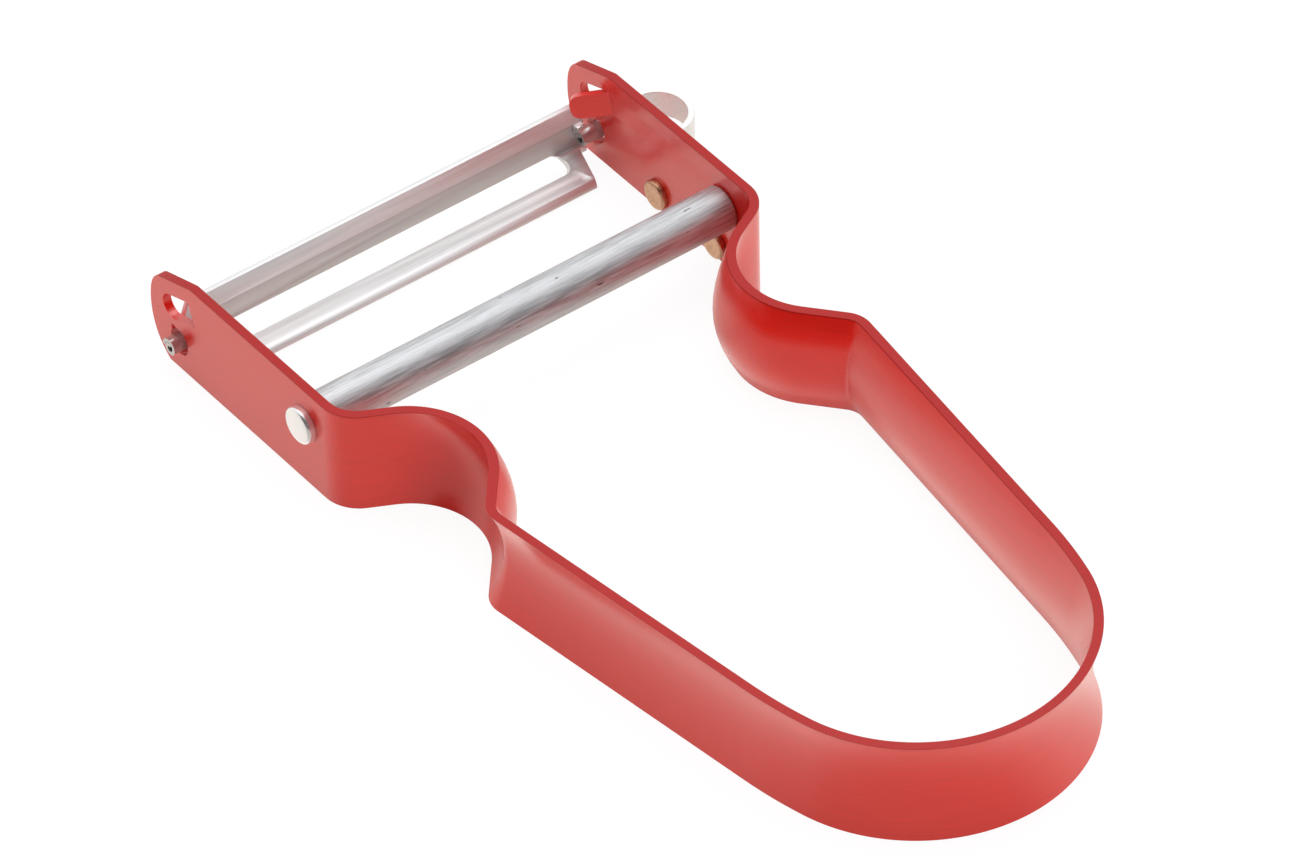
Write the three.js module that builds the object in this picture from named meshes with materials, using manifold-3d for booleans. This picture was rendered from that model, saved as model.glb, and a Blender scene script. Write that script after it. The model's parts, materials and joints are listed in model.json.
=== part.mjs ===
// A vegetable peeler: one springy strip bent into a handle loop, with a blade that swings
// across its two cheeks, a crossbar that holds them apart and an eye remover on the right cheek.
// Millimetres, +Z up, +Y from the bow of the handle to the blade, +X to the eye remover.
// The origin is the middle of the bow, on the lower edge of the strip.

import * as THREE from "three";
import { mergeVertices } from "three/addons/utils/BufferGeometryUtils.js";
import Module from "manifold-3d";

// Strip of the handle, from the nose of a cheek to the bow
const STRIP_THICKNESS = 1.0;
const STRIP_HEIGHT = 12.4;
const CHEEK_SPAN = 53.6;
const CHEEK_LENGTH = 30.0;
const SHOULDER_RADIUS = 3.85;
const SHOULDER_TURN = 62.2;
const SHOULDER_RUN = 3.0;
const REST_RADIUS = 8.85;
const REST_TURN = 102.7;
const REST_RUN = 4.85;
const REST_DISH = 1.7;
const HANDLE_DISH = 1.0;
const DISH_EASE = 0.4;
const NECK_RADIUS = 2.8;
const NECK_TURN = 47.75;
const LEG_LENGTH = 34.9;
const HIP_RADIUS = 53.6;
const HIP_TURN = 8.1;

// Nose of each cheek, measured back from its tip and down from the strip's upper edge
const NOSE_BEVEL_START = 7.3;
const NOSE_BEVEL_END = 1.8;
const NOSE_BEVEL_DROP = 1.8;
const NOSE_TIP_DROP = 6.0;
const NOSE_HEEL = 3.0;

// Pivot of the blade
const PIVOT_FROM_NOSE = 4.85;
const PIVOT_HEIGHT = 3.5;
const PIN_RADIUS = 1.15;
const PIN_BORE_RADIUS = 0.4;
const PIN_CLEARANCE = 0.3;
const PIN_PROUD = 1.3;
const PIN_ROOT = 2.2;
const PIN_ROOT_SHARE = 0.75;
const PIN_ROOT_STEP = 0.3;
const PIVOT_HOLE_RISE = 0.3;

// Lanced window and stop tab of each cheek, measured from the pivot
const WINDOW_REAR = 2.95;
const WINDOW_RISE = 4.05;
const WINDOW_SLOPE = 19.3;
const WINDOW_WIDTH = 2.9;
const WINDOW_LENGTH = 5.3;
const TAB_LENGTH_RIGHT = 4.6;
const TAB_LENGTH_LEFT = 3.6;
const TAB_FOLD_RIGHT = 46.0;
const TAB_FOLD_LEFT = 28.0;
const TAB_SIDE_CUT = 0.15;
const TAB_CORNER = 1.2;
const TAB_ROOT = 0.2;

// Blade: a trough of sheet steel, its inner faces measured from the pivot
const BLADE_THICKNESS = 0.7;
const BLADE_SIDE_GAP = 0.6;
const FOLD_FORWARD = 0.9;
const FOLD_BELOW = 2.35;
const WALL_HEIGHT = 5.35;
const WALL_LEAN = 9.7;
const PLATE_DEPTH = 5.1;
const PLATE_RISE = 0.0;
const LIP_LENGTH = 0.8;
const LIP_TURN = 70.0;
const WALL_CORNER_RUN = 1.4;
const WALL_CORNER_DROP = 2.0;
const PLATE_INSET_FRONT = 0.9;
const PLATE_INSET_REAR = 2.7;
const SLOT_END_INSET = 3.2;
const SLOT_ON_WALL = 0.95;
const SLOT_ON_PLATE = 2.4;

// Crossbar, with tenons through the cheeks and upset heads outside
const BAR_DIAMETER = 5.0;
const BAR_FROM_SHOULDER = 3.3;
const BAR_HEIGHT = 7.85;
const TENON_DIAMETER = 2.5;
const BAR_HEAD_DIAMETER = 4.2;
const BAR_HEAD_THICKNESS = 0.8;
const BAR_END_CHAMFER = 0.35;

// Rivets of the eye remover
const RIVET_HEIGHT = 1.95;
const RIVET_SHANK_DIAMETER = 2.0;
const RIVET_HEAD_DIAMETER = 3.4;
const RIVET_HEAD_THICKNESS = 0.5;
const FRONT_RIVET_TO_PIVOT = 10.6;
const REAR_RIVET_FROM_SHOULDER = 4.65;

// Eye remover: a narrow strip with a foot on the right cheek and a loop beyond it
const EYE_THICKNESS = 0.7;
const EYE_WIDTH = 3.3;
const EYE_REACH = 9.7;
const EYE_FOOT_MARGIN = 2.2;
const EYE_BEND_RADIUS = 0.9;
const EYE_PIN_CLEARANCE = 0.4;
const EYE_LOOP_RADIUS = 3.6;
const EYE_TIP_GAP = 0.3;

// Gaps between pieces that seat on each other or pass through each other
const SEAT_GAP = 0.15;
const SHANK_CLEARANCE = 0.15;

// Fineness of the round stretches
const ROUND_SIDES = 24;
const DISH_ROWS = 6;
const CURVE_STEPS = 10;

const wasm = await Module();
wasm.setup();

const degrees = THREE.MathUtils.degToRad;

// Places that more than one piece shares
const cheekOuterFace = CHEEK_SPAN / 2 + STRIP_THICKNESS / 2;
const cheekInnerFace = CHEEK_SPAN / 2 - STRIP_THICKNESS / 2;
const beyond = 3 * STRIP_HEIGHT;

// A walk in plan: straight runs and turns, sampled as points with the normal on the walker's right
function walk(start, heading, moves) {
  const samples = [];
  let place = start.clone();
  let angle = degrees(heading);
  let travelled = 0;
  const note = () => {
    const right = new THREE.Vector2(Math.sin(angle), -Math.cos(angle));
    samples.push({ place: place.clone(), right, travelled });
  };
  note();
  for (const move of moves) {
    const turn = degrees(move.turn ?? 0);
    const length = move.run ?? Math.abs(turn) * move.radius;
    const step = length / move.steps;
    const bend = turn / move.steps;
    const chord = turn === 0 ? step : 2 * move.radius * Math.sin(Math.abs(bend) / 2);
    for (let i = 0; i < move.steps; i += 1) {
      const along = angle + bend / 2;
      place = place.clone().add(new THREE.Vector2(Math.cos(along), Math.sin(along)).multiplyScalar(chord));
      angle += bend;
      travelled += step;
      note();
    }
  }
  return samples;
}

// A closed body from rings that all have the same number of points
function bodyFromRings(rings) {
  const count = rings[0].length;
  const positions = rings.flat().flatMap((point) => [point.x, point.y, point.z]);
  const index = [];
  for (let i = 0; i + 1 < rings.length; i += 1) {
    for (let j = 0; j < count; j += 1) {
      const a = i * count + j;
      const b = i * count + ((j + 1) % count);
      index.push(a, b + count, b, a, a + count, b + count);
    }
  }
  const last = (rings.length - 1) * count;
  for (let j = 0; j + 1 < count / 2; j += 1) {
    const k = count - 1 - j;
    index.push(j, k - 1, k, j, j + 1, k - 1);
    index.push(last + j, last + k, last + k - 1, last + j, last + k - 1, last + j + 1);
  }
  const geometry = new THREE.BufferGeometry();
  geometry.setAttribute("position", new THREE.Float32BufferAttribute(positions, 3));
  geometry.setIndex(index);
  return geometry;
}

// A flat strip standing on edge along a walk, pushed to the walker's right by dish(sample, share of height)
function standingStrip(samples, thickness, bottom, height, rows, dish) {
  const rings = samples.map((sample) => {
    const point = (side, row) => {
      const share = row / rows;
      const shift = side * thickness / 2 + dish(sample, share);
      const plan = sample.place.clone().addScaledVector(sample.right, shift);
      return new THREE.Vector3(plan.x, plan.y, bottom + share * height);
    };
    const upward = Array.from({ length: rows + 1 }, (_, row) => row);
    const rightFace = upward.map((row) => point(1, row));
    const leftFace = upward.toReversed().map((row) => point(-1, row));
    return [...rightFace, ...leftFace];
  });
  return bodyFromRings(rings);
}

// Closed geometry to a solid for cutting and joining, and back again
function solid(geometry) {
  const bare = geometry.clone();
  bare.deleteAttribute("normal");
  bare.deleteAttribute("uv");
  const merged = mergeVertices(bare, 1e-5);
  return new wasm.Manifold(new wasm.Mesh({
    numProp: 3,
    vertProperties: new Float32Array(merged.attributes.position.array),
    triVerts: new Uint32Array(merged.index.array),
  }));
}

function geometryOf(body) {
  const mesh = body.getMesh();
  const geometry = new THREE.BufferGeometry();
  geometry.setAttribute("position", new THREE.BufferAttribute(new Float32Array(mesh.vertProperties), 3));
  geometry.setIndex(new THREE.BufferAttribute(new Uint32Array(mesh.triVerts), 1));
  geometry.computeVertexNormals();
  return geometry;
}

// The same geometry on the other side of the middle plane
function mirrored(geometry) {
  const copy = geometry.index ? geometry.toNonIndexed() : geometry.clone();
  copy.scale(-1, 1, 1);
  const order = [];
  for (let i = 0; i < copy.attributes.position.count; i += 3) {
    order.push(i, i + 2, i + 1);
  }
  copy.setIndex(order);
  return copy;
}

// An outline drawn in (y, z), extruded along X between two places
function acrossPrism(shape, from, to) {
  const geometry = new THREE.ExtrudeGeometry(shape, {
    depth: to - from,
    bevelEnabled: false,
    curveSegments: CURVE_STEPS,
  });
  geometry.applyMatrix4(new THREE.Matrix4().makeBasis(
    new THREE.Vector3(0, 1, 0),
    new THREE.Vector3(0, 0, 1),
    new THREE.Vector3(1, 0, 0),
  ));
  return geometry.translate(from, 0, 0);
}

function acrossCylinder(radius, y, z, from, to) {
  const geometry = new THREE.CylinderGeometry(radius, radius, to - from, ROUND_SIDES);
  return geometry.rotateZ(Math.PI / 2).translate((from + to) / 2, y, z);
}

// A turned piece about X, from [distance along X, radius] pairs that start and end on the axis
function turnedAcross(profile, y, z) {
  const points = profile.map(([along, radius]) => new THREE.Vector2(radius, along));
  const geometry = new THREE.LatheGeometry(points, ROUND_SIDES);
  return geometry.rotateZ(-Math.PI / 2).translate(0, y, z);
}

// Plan of the strip's right half, from the nose to the middle of the bow
function rightHalfPlan() {
  const bowStart = SHOULDER_TURN - REST_TURN + NECK_TURN + HIP_TURN;
  const moves = [
    { run: CHEEK_LENGTH, steps: 1 },
    { turn: -SHOULDER_TURN, radius: SHOULDER_RADIUS, steps: 8 },
    { run: SHOULDER_RUN, steps: 3 },
    { turn: REST_TURN, radius: REST_RADIUS, steps: 18 },
    { run: REST_RUN, steps: 4 },
    { turn: -NECK_TURN, radius: NECK_RADIUS, steps: 6 },
    { run: LEG_LENGTH, steps: 8 },
    { turn: -HIP_TURN, radius: HIP_RADIUS, steps: 3 },
  ];
  const start = new THREE.Vector2(CHEEK_SPAN / 2, 0);
  const hipEnd = walk(start, -90, moves).at(-1).place;
  const bowRadius = hipEnd.x / Math.cos(degrees(bowStart));
  const bow = { turn: bowStart - 90, radius: bowRadius, steps: 14 };
  return walk(start, -90, [...moves, bow]);
}

const plan = rightHalfPlan();
const noseTip = -plan.at(-1).place.y;
for (const sample of plan) {
  sample.place.y += noseTip;
}
const shoulder = noseTip - CHEEK_LENGTH;
const pivotPlace = noseTip - PIVOT_FROM_NOSE;
const barPlace = shoulder + BAR_FROM_SHOULDER;
const frontRivetPlace = pivotPlace - FRONT_RIVET_TO_PIVOT;
const rearRivetPlace = shoulder + REAR_RIVET_FROM_SHOULDER;

// Section of the blade in (y, z) from the pivot: the trough's inner line and its directions
const along = (angle) => new THREE.Vector2(Math.cos(degrees(angle)), Math.sin(degrees(angle)));
const fold = new THREE.Vector2(FOLD_FORWARD, -FOLD_BELOW);
const wallDirection = along(90 - WALL_LEAN);
const plateDirection = along(180 - PLATE_RISE);
const wallTop = fold.clone().addScaledVector(wallDirection, WALL_HEIGHT);
const plateRear = fold.clone().addScaledVector(plateDirection, PLATE_DEPTH);
const lipEnd = plateRear.clone().addScaledVector(along(180 - PLATE_RISE + LIP_TURN), LIP_LENGTH);

// The strip is pressed inwards along its middle: most in the finger rest, less along the leg and the bow
function bandDish() {
  const from = CHEEK_LENGTH + degrees(SHOULDER_TURN) * SHOULDER_RADIUS;
  const length = SHOULDER_RUN + degrees(REST_TURN) * REST_RADIUS + REST_RUN;
  const neck = from + length;
  const settled = neck + degrees(NECK_TURN) * NECK_RADIUS + LEG_LENGTH;
  return (sample, share) => {
    const rise = THREE.MathUtils.smoothstep(sample.travelled, from, from + DISH_EASE * length);
    const settling = THREE.MathUtils.smoothstep(sample.travelled, neck, settled);
    const depth = rise * THREE.MathUtils.lerp(REST_DISH, HANDLE_DISH, settling);
    return depth * (1 - (2 * share - 1) ** 2);
  };
}

// What is cut away in front of the nose, in (y, z)
function noseOffcut() {
  const shape = new THREE.Shape();
  const front = noseTip + beyond;
  const bevelEnd = noseTip - NOSE_BEVEL_END;
  const bevelHeight = STRIP_HEIGHT - NOSE_BEVEL_DROP;
  const tipHeight = STRIP_HEIGHT - NOSE_TIP_DROP;
  shape.moveTo(front, -beyond);
  shape.lineTo(front, STRIP_HEIGHT + beyond);
  shape.lineTo(noseTip - NOSE_BEVEL_START, STRIP_HEIGHT + beyond);
  shape.lineTo(noseTip - NOSE_BEVEL_START, STRIP_HEIGHT);
  shape.lineTo(bevelEnd, bevelHeight);
  shape.quadraticCurveTo(noseTip, bevelHeight - NOSE_BEVEL_END / 2, noseTip, tipHeight);
  shape.quadraticCurveTo(noseTip, tipHeight / 3, noseTip - NOSE_HEEL, 0);
  shape.lineTo(noseTip - NOSE_HEEL, -beyond);
  shape.closePath();
  return acrossPrism(shape, -beyond, beyond);
}

// The window and the tab share a frame: u forward and down the window, v up its straight rear side, the hinge
const hingeForward = new THREE.Vector2(Math.cos(degrees(WINDOW_SLOPE)), -Math.sin(degrees(WINDOW_SLOPE)));
const hingeUp = new THREE.Vector2(-hingeForward.y, hingeForward.x);
const hingeRear = new THREE.Vector2(pivotPlace - WINDOW_REAR, PIVOT_HEIGHT + WINDOW_RISE);

function cheekWindow() {
  const radius = WINDOW_WIDTH / 2;
  const shape = new THREE.Shape();
  const at = (u, v) => hingeRear.clone().addScaledVector(hingeForward, u).addScaledVector(hingeUp, v);
  const corners = [at(0, 0), at(WINDOW_LENGTH - radius, 0), at(0, WINDOW_WIDTH)];
  const middle = at(WINDOW_LENGTH - radius, radius);
  shape.moveTo(corners[0].x, corners[0].y);
  shape.lineTo(corners[1].x, corners[1].y);
  shape.absarc(middle.x, middle.y, radius, degrees(-90 - WINDOW_SLOPE), degrees(90 - WINDOW_SLOPE), false);
  shape.lineTo(corners[2].x, corners[2].y);
  shape.closePath();
  return acrossPrism(shape, -beyond, beyond);
}

// A tab as on the right cheek: the window's own sheet, folded inwards on the hinge to stand between the blade's two flanges
function stopTab(fold, length) {
  const low = TAB_SIDE_CUT;
  const high = WINDOW_WIDTH - TAB_SIDE_CUT;
  const shape = new THREE.Shape();
  shape.moveTo(-TAB_ROOT, low);
  shape.lineTo(length - TAB_CORNER, low);
  shape.quadraticCurveTo(length, low, length, low + TAB_CORNER);
  shape.lineTo(length, high - TAB_CORNER);
  shape.quadraticCurveTo(length, high, length - TAB_CORNER, high);
  shape.lineTo(-TAB_ROOT, high);
  shape.closePath();
  const geometry = new THREE.ExtrudeGeometry(shape, {
    depth: STRIP_THICKNESS,
    bevelEnabled: false,
    curveSegments: CURVE_STEPS / 2,
  });
  geometry.translate(0, 0, -STRIP_THICKNESS / 2);
  const inwards = Math.sin(degrees(fold));
  const onwards = Math.cos(degrees(fold));
  const reach = new THREE.Vector3(-inwards, onwards * hingeForward.x, onwards * hingeForward.y);
  const rise = new THREE.Vector3(0, hingeUp.x, hingeUp.y);
  const placing = new THREE.Matrix4().makeBasis(reach, rise, reach.clone().cross(rise));
  placing.setPosition(CHEEK_SPAN / 2, hingeRear.x, hingeRear.y);
  return geometry.applyMatrix4(placing);
}

// Oblong hole for a pin of the blade, a little taller than it is wide
function pivotHoles() {
  const radius = PIN_RADIUS + PIN_CLEARANCE;
  const shape = new THREE.Shape();
  shape.moveTo(pivotPlace + radius, PIVOT_HEIGHT);
  shape.absarc(pivotPlace, PIVOT_HEIGHT + PIVOT_HOLE_RISE, radius, 0, Math.PI, false);
  shape.absarc(pivotPlace, PIVOT_HEIGHT, radius, Math.PI, 2 * Math.PI, false);
  return acrossPrism(shape, -beyond, beyond);
}

function handleBand() {
  const leftHalf = plan.slice(0, -1).toReversed().map((sample) => ({
    place: new THREE.Vector2(-sample.place.x, sample.place.y),
    right: new THREE.Vector2(-sample.right.x, sample.right.y),
    travelled: sample.travelled,
  }));
  const loop = [...plan, ...leftHalf];
  const strip = standingStrip(loop, STRIP_THICKNESS, 0, STRIP_HEIGHT, DISH_ROWS, bandDish());
  const tenonHole = TENON_DIAMETER / 2 + SHANK_CLEARANCE;
  const rivetHole = RIVET_SHANK_DIAMETER / 2 + SHANK_CLEARANCE;
  let body = solid(strip)
    .subtract(solid(noseOffcut()))
    .subtract(solid(cheekWindow()))
    .subtract(solid(pivotHoles()))
    .subtract(solid(acrossCylinder(tenonHole, barPlace, BAR_HEIGHT, -beyond, beyond)));
  for (const place of [frontRivetPlace, rearRivetPlace]) {
    body = body.subtract(solid(acrossCylinder(rivetHole, place, RIVET_HEIGHT, 0, beyond)));
  }
  const rightTab = solid(stopTab(TAB_FOLD_RIGHT, TAB_LENGTH_RIGHT));
  const leftTab = solid(mirrored(stopTab(TAB_FOLD_LEFT, TAB_LENGTH_LEFT)));
  return geometryOf(body.add(rightTab).add(leftTab));
}

function crossbar() {
  const shoulderEnd = cheekInnerFace - SEAT_GAP;
  const headStart = cheekOuterFace + SEAT_GAP;
  const headEnd = headStart + BAR_HEAD_THICKNESS;
  const headRadius = BAR_HEAD_DIAMETER / 2;
  const rightHalf = [
    [shoulderEnd - BAR_END_CHAMFER, BAR_DIAMETER / 2],
    [shoulderEnd, BAR_DIAMETER / 2 - BAR_END_CHAMFER],
    [shoulderEnd, TENON_DIAMETER / 2],
    [headStart, TENON_DIAMETER / 2],
    [headStart, headRadius],
    [headEnd - BAR_END_CHAMFER, headRadius],
    [headEnd, headRadius - BAR_END_CHAMFER],
    [headEnd, 0],
  ];
  const leftHalf = rightHalf.toReversed().map(([place, radius]) => [-place, radius]);
  return turnedAcross([...leftHalf, ...rightHalf], barPlace, BAR_HEIGHT);
}

function rivet(place) {
  const footOuterFace = cheekOuterFace + SEAT_GAP + EYE_THICKNESS;
  const innerSeat = cheekInnerFace - SEAT_GAP;
  const outerSeat = footOuterFace + SEAT_GAP;
  const head = RIVET_HEAD_DIAMETER / 2;
  const crown = RIVET_HEAD_THICKNESS / 2;
  const shank = RIVET_SHANK_DIAMETER / 2;
  return turnedAcross([
    [innerSeat - RIVET_HEAD_THICKNESS, 0],
    [innerSeat - RIVET_HEAD_THICKNESS, head - crown],
    [innerSeat - crown, head],
    [innerSeat, head],
    [innerSeat, shank],
    [outerSeat, shank],
    [outerSeat, head],
    [outerSeat + crown, head],
    [outerSeat + RIVET_HEAD_THICKNESS, head - crown],
    [outerSeat + RIVET_HEAD_THICKNESS, 0],
  ], place, RIVET_HEIGHT);
}

function eyeRemover() {
  const footMiddle = cheekOuterFace + SEAT_GAP + EYE_THICKNESS / 2;
  const frontLeg = pivotPlace + PIN_RADIUS + EYE_PIN_CLEARANCE + EYE_THICKNESS / 2;
  const returnLeg = frontLeg - 2 * EYE_LOOP_RADIUS;
  const footStart = rearRivetPlace - EYE_FOOT_MARGIN;
  const loopMiddle = cheekOuterFace + EYE_REACH - EYE_LOOP_RADIUS - EYE_THICKNESS / 2;
  const moves = [
    { run: returnLeg - EYE_BEND_RADIUS - footStart, steps: 1 },
    { turn: -90, radius: EYE_BEND_RADIUS, steps: 5 },
    { run: loopMiddle - footMiddle - EYE_BEND_RADIUS, steps: 1 },
    { turn: 180, radius: EYE_LOOP_RADIUS, steps: 20 },
    { run: loopMiddle - cheekOuterFace - EYE_TIP_GAP, steps: 1 },
  ];
  const samples = walk(new THREE.Vector2(footMiddle, footStart), 90, moves);
  const bottom = RIVET_HEIGHT - EYE_WIDTH / 2;
  const strip = standingStrip(samples, EYE_THICKNESS, bottom, EYE_WIDTH, 1, () => 0);
  const hole = RIVET_SHANK_DIAMETER / 2 + SHANK_CLEARANCE;
  let body = solid(strip);
  for (const place of [frontRivetPlace, rearRivetPlace]) {
    body = body.subtract(solid(acrossCylinder(hole, place, RIVET_HEIGHT, 0, footMiddle + EYE_THICKNESS)));
  }
  return geometryOf(body);
}

// The trough's section: the inner line, and the same line pushed out by the sheet's thickness
function bladeSection() {
  const inner = [wallTop, fold, plateRear, lipEnd];
  const normals = inner.slice(1).map((point, i) => {
    const step = point.clone().sub(inner[i]).normalize();
    return new THREE.Vector2(-step.y, step.x);
  });
  const outer = inner.map((point, i) => {
    const before = normals[Math.max(i - 1, 0)];
    const after = normals[Math.min(i, normals.length - 1)];
    const mitre = before.clone().add(after).normalize();
    return point.clone().addScaledVector(mitre, BLADE_THICKNESS / mitre.dot(before));
  });
  return new THREE.Shape([...inner, ...outer.toReversed()]);
}

// The slot is a long round-ended hole through the fold, square to the trough's middle direction
function bladeSlot(halfLength) {
  const outward = wallDirection.clone().add(plateDirection).normalize().negate();
  const across = new THREE.Vector2(outward.y, -outward.x);
  const onWall = fold.clone().addScaledVector(wallDirection, SLOT_ON_WALL).dot(across);
  const onPlate = fold.clone().addScaledVector(plateDirection, SLOT_ON_PLATE).dot(across);
  const radius = Math.abs(onWall - onPlate) / 2;
  const shape = new THREE.Shape();
  shape.moveTo(halfLength - radius, -radius);
  shape.absarc(halfLength - radius, 0, radius, -Math.PI / 2, Math.PI / 2, false);
  shape.absarc(radius - halfLength, 0, radius, Math.PI / 2, 1.5 * Math.PI, false);
  const depth = 4 * BLADE_THICKNESS;
  const geometry = new THREE.ExtrudeGeometry(shape, {
    depth: 2 * depth,
    bevelEnabled: false,
    curveSegments: CURVE_STEPS,
  });
  const middle = across.clone().multiplyScalar((onWall + onPlate) / 2)
    .addScaledVector(outward, fold.dot(outward) - depth);
  const placing = new THREE.Matrix4().makeBasis(
    new THREE.Vector3(1, 0, 0),
    new THREE.Vector3(0, across.x, across.y),
    new THREE.Vector3(0, outward.x, outward.y),
  );
  placing.setPosition(0, middle.x, middle.y);
  return geometry.applyMatrix4(placing);
}

// What is cut off the right end of the trough: the wall's upper corner and the plate's slanting end
function bladeEndOffcuts(halfLength) {
  const wallCorner = new THREE.Shape([
    new THREE.Vector2(halfLength, wallTop.y - WALL_CORNER_DROP),
    new THREE.Vector2(halfLength + beyond, wallTop.y - WALL_CORNER_DROP),
    new THREE.Vector2(halfLength + beyond, wallTop.y + beyond),
    new THREE.Vector2(halfLength - WALL_CORNER_RUN, wallTop.y + beyond),
    new THREE.Vector2(halfLength - WALL_CORNER_RUN, wallTop.y + BLADE_THICKNESS),
  ]);
  const corner = new THREE.ExtrudeGeometry(wallCorner, { depth: 2 * beyond, bevelEnabled: false });
  corner.rotateX(Math.PI / 2).translate(0, beyond, 0);
  const plateEnd = new THREE.Shape([
    new THREE.Vector2(halfLength - PLATE_INSET_FRONT, fold.x),
    new THREE.Vector2(halfLength - PLATE_INSET_REAR, lipEnd.x),
    new THREE.Vector2(halfLength - PLATE_INSET_REAR, -beyond),
    new THREE.Vector2(halfLength + beyond, -beyond),
    new THREE.Vector2(halfLength + beyond, fold.x),
  ]);
  const plate = new THREE.ExtrudeGeometry(plateEnd, { depth: beyond, bevelEnabled: false });
  plate.translate(0, 0, -beyond);
  return [corner, plate];
}

// The right pin: rolled from the wall's end, so its root lies against the wall and its tip is a tube
function bladePin() {
  const inside = cheekInnerFace - PIN_ROOT;
  const outside = cheekOuterFace + PIN_PROUD;
  const rootEnd = cheekInnerFace - BLADE_SIDE_GAP - PIN_ROOT_STEP;
  const wallInside = (height) => fold.x + (height - fold.y) * (wallDirection.x / wallDirection.y);
  const sunk = BLADE_THICKNESS / 2;
  const half = PIN_ROOT_SHARE * PIN_RADIUS;
  const root = new THREE.Shape([
    new THREE.Vector2(0, -half),
    new THREE.Vector2(wallInside(-half) + sunk, -half),
    new THREE.Vector2(wallInside(half) + sunk, half),
    new THREE.Vector2(0, half),
  ]);
  const bore = acrossCylinder(PIN_BORE_RADIUS, 0, 0, rootEnd, outside + PIN_PROUD);
  return solid(acrossPrism(root, inside + PIN_ROOT_STEP, rootEnd))
    .add(solid(acrossCylinder(PIN_RADIUS, 0, 0, inside, outside)))
    .subtract(solid(bore));
}

function blade() {
  const halfLength = cheekInnerFace - BLADE_SIDE_GAP;
  let body = solid(acrossPrism(bladeSection(), -halfLength, halfLength));
  for (const offcut of bladeEndOffcuts(halfLength)) {
    body = body.subtract(solid(offcut)).subtract(solid(mirrored(offcut)));
  }
  body = body.subtract(solid(bladeSlot(halfLength - SLOT_END_INSET)));
  const pin = bladePin();
  return geometryOf(body.add(pin).add(solid(mirrored(geometryOf(pin)))));
}

// One named mesh with its own finish
function piece(name, geometry, colour, roughness, metalness) {
  const material = new THREE.MeshStandardMaterial({ color: colour, roughness, metalness });
  const mesh = new THREE.Mesh(geometry, material);
  mesh.name = name;
  return mesh;
}

const peeler = new THREE.Group();
const swingingBlade = piece("blade", blade(), 0xc9c8c4, 0.3, 1.0);
swingingBlade.position.set(0, pivotPlace, PIVOT_HEIGHT);
peeler.add(
  piece("handle_band", handleBand(), 0xc2302a, 0.4, 0.6),
  piece("crossbar", crossbar(), 0xc4c6c8, 0.35, 1.0),
  swingingBlade,
  piece("eye_remover", eyeRemover(), 0xcbc9c4, 0.3, 1.0),
  piece("rivet_front", rivet(frontRivetPlace), 0xd9a277, 0.35, 1.0),
  piece("rivet_rear", rivet(rearRivetPlace), 0xd9a277, 0.35, 1.0),
);

export default peeler;
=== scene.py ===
"""A vegetable peeler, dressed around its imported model: a red strip bent into a handle loop, a swinging
blade, a crossbar, an eye remover and its rivets. Meshes are in metres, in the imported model's frame."""

import json
import math

import bmesh
import bpy
from mathutils import Matrix, Vector


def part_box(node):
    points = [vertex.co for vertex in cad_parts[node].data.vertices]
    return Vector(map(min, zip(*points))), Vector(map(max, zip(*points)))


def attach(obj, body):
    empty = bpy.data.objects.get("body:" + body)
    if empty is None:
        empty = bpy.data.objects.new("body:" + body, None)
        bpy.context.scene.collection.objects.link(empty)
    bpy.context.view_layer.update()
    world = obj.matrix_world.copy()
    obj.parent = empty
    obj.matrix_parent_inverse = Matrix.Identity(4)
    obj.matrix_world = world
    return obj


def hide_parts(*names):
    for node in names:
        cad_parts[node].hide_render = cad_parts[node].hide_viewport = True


bl_info = {
    "name": "Vegetable Peeler",
    "version": (1, 0, 0),
    "blender": (4, 5, 0),
    "location": "View3D > Sidebar > Peeler",
    "description": "Builds the looks of a strip-handled vegetable peeler around its packed model",
    "category": "Add Mesh",
}

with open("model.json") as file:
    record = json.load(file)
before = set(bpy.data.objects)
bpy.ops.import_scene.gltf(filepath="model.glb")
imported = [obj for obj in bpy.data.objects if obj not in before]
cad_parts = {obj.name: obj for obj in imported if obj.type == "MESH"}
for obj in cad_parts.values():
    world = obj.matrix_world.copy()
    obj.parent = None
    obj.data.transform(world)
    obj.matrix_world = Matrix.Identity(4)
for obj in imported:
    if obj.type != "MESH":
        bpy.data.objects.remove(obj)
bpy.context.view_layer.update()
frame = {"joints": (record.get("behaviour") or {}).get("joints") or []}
MM = 0.001

BAND_LOW, BAND_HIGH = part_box("handle_band")
BAR_LOW, BAR_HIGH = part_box("crossbar")
BLADE_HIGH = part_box("blade")[1]
EYE_LOW, EYE_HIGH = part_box("eye_remover")
FRONT_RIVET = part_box("rivet_front")
REAR_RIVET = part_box("rivet_rear")
RIVETS = (FRONT_RIVET, REAR_RIVET)
PIVOT = Vector(frame["joints"][0]["pos_m"])

# The camera's focal length over the width of its sensor
FOCAL_SHARE = 8.4389
SENSOR_WIDTH_MM = 36.0
WHITE = (1.0, 1.0, 1.0, 1.0)
MIRRORED = Matrix.Diagonal((-1, 1, 1, 1))


def size(default, words):
    """A length that a user may change, given here in millimetres."""
    return bpy.props.FloatProperty(name=words, description=words, default=default * MM, subtype="DISTANCE",
                                   unit="LENGTH", precision=5)


def turn(default, words):
    """An angle that a user may change, given here in degrees."""
    return bpy.props.FloatProperty(name=words, description=words, default=math.radians(default),
                                   subtype="ANGLE", unit="ROTATION")


def colour(default, words):
    """A colour that a user may change, as linear light."""
    return bpy.props.FloatVectorProperty(name=words, description=words, default=default, size=3,
                                         subtype="COLOR", min=0.0, max=1.0)


def share(default, words):
    """A plain number that a user may change."""
    return bpy.props.FloatProperty(name=words, description=words, default=default, subtype="FACTOR")


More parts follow.
